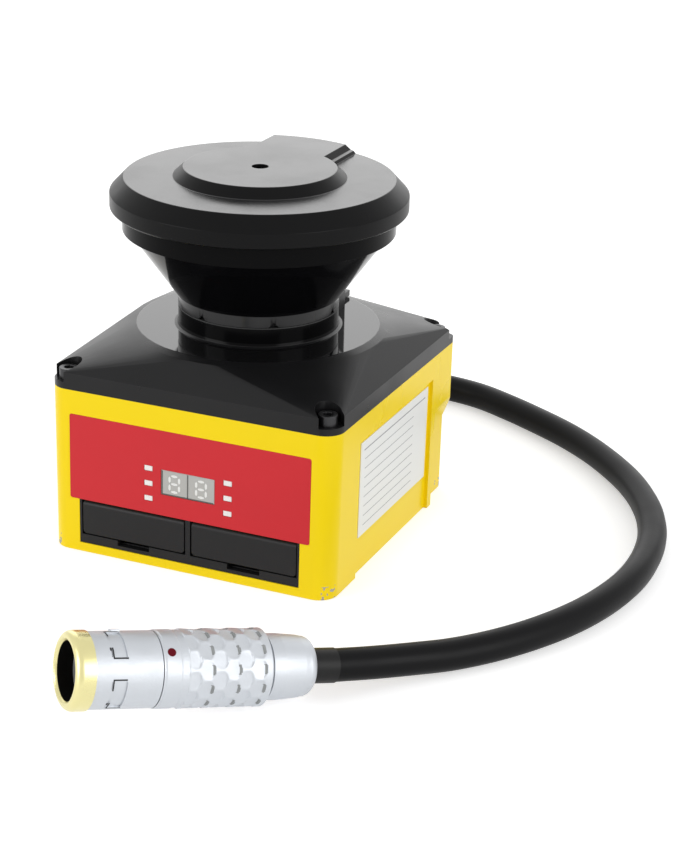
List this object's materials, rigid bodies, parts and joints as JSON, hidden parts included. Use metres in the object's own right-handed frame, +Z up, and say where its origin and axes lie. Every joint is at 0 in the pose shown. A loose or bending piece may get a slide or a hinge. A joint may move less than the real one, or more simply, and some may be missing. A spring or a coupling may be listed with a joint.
{
  "type": "safety laser scanner",
  "caption": "Compact area scanner with a dark flared window under a round cap, yellow housing, red display panel, hinged service covers, and a rear cable with a push-pull plug.",
  "frame": {"origin": "centre of the housing's base, on the table", "axes": "+Z up along the scan axis, -Y out of the red front panel, +Y out of the rear wall that the cable leaves"},
  "size_m": [0.1464, 0.2383, 0.095],
  "materials": {
    "yellow_paint": "semi_gloss",
    "white_label": "satin",
    "black_cover": "satin",
    "black_rubber": "matte",
    "screw_steel": "satin",
    "red_panel": "satin",
    "display_grey": "gloss",
    "display_body": "satin",
    "light_white": "satin",
    "board_green": "satin",
    "port_black": "satin",
    "bright_steel": "satin",
    "button_red": "satin",
    "cast_alloy": "satin",
    "copper": "satin",
    "magnet": "satin",
    "holder_black": "matte",
    "encoder_white": "satin",
    "mirror": "gloss",
    "wire_blue": "satin",
    "wire_red": "satin",
    "window_black": "gloss",
    "lens_glass": "gloss",
    "gold": "gloss",
    "gland_grey": "satin",
    "cable_black": "satin",
    "plug_silver": "satin",
    "collar_grey": "satin",
    "dot_red": "satin",
    "insert_black": "satin"
  },
  "bodies": {
    "base": {"housing": "yellow_paint", "side_label": "white_label", "top_cover": "black_cover", "cover_gasket": "black_rubber", "cover_screws": "screw_steel", "front_panel": "red_panel", "display_window": "display_grey", "display_module": "display_body", "status_lights": "light_white", "front_board": "board_green", "board_screws": "screw_steel", "port_frame": "port_black", "hinge_pin": "screw_steel", "data_socket": "bright_steel", "main_board": "board_green", "chassis": "cast_alloy", "machine_screws": "screw_steel", "motor_base": "cast_alloy", "motor_stator": "copper", "spindle_bearings": "bright_steel", "encoder_sensor": "port_black", "rear_column": "black_cover", "column_screws": "screw_steel", "wire_bundle": "wire_blue", "window_gasket": "black_rubber", "optical_window": "window_black", "cap_gasket": "black_rubber", "top_cap": "black_cover", "optics_carrier": "cast_alloy", "receiver_lens": "lens_glass", "laser_emitter": "gold", "receiver_board": "board_green", "cable_gland": "gland_grey", "gland_nut": "screw_steel", "cable_boot": "black_rubber", "cable_tail": "cable_black", "lead_wires": "wire_red", "cable": "cable_black", "cable_collar": "collar_grey", "plug_nut": "plug_silver", "plug_shell": "plug_silver", "plug_ring": "gold", "plug_insert": "insert_black", "plug_contacts": "gold"},
    "rotor": {"spindle": "bright_steel", "rotor_bell": "bright_steel", "rotor_magnets": "magnet", "encoder_disc": "encoder_white", "mirror_holder": "holder_black", "scan_mirror": "mirror"},
    "left_cover": {"port_cover_left": "port_black"},
    "right_cover": {"port_cover_right": "port_black"},
    "button": {"reset_button": "button_red"},
    "grip": {"plug_grip": "plug_silver", "plug_index_dot": "dot_red"}
  },
  "joints": [
    {"name": "scan_rotation", "type": "hinge", "parent": "base", "child": "rotor", "pos_m": [0, 0, 0.05], "axis": [0, 0, 1], "continuous": true},
    {"name": "left_cover_hinge", "type": "hinge", "parent": "base", "child": "left_cover", "pos_m": [-0.0153, -0.03855, 0.01265], "axis": [-1, 0, 0], "range_deg": [0, 90]},
    {"name": "right_cover_hinge", "type": "hinge", "parent": "base", "child": "right_cover", "pos_m": [0.0153, -0.03855, 0.01265], "axis": [-1, 0, 0], "range_deg": [0, 90]},
    {"name": "reset_press", "type": "slide", "parent": "base", "child": "button", "axis": [0, 1, 0], "range_m": [0, 0.0008], "stiffness_N_per_m": 1500},
    {"name": "grip_pull", "type": "slide", "parent": "base", "child": "grip", "axis": [0.6661, 0.727, -0.1668], "range_m": [0, 0.002], "stiffness_N_per_m": 1500}
  ]
}
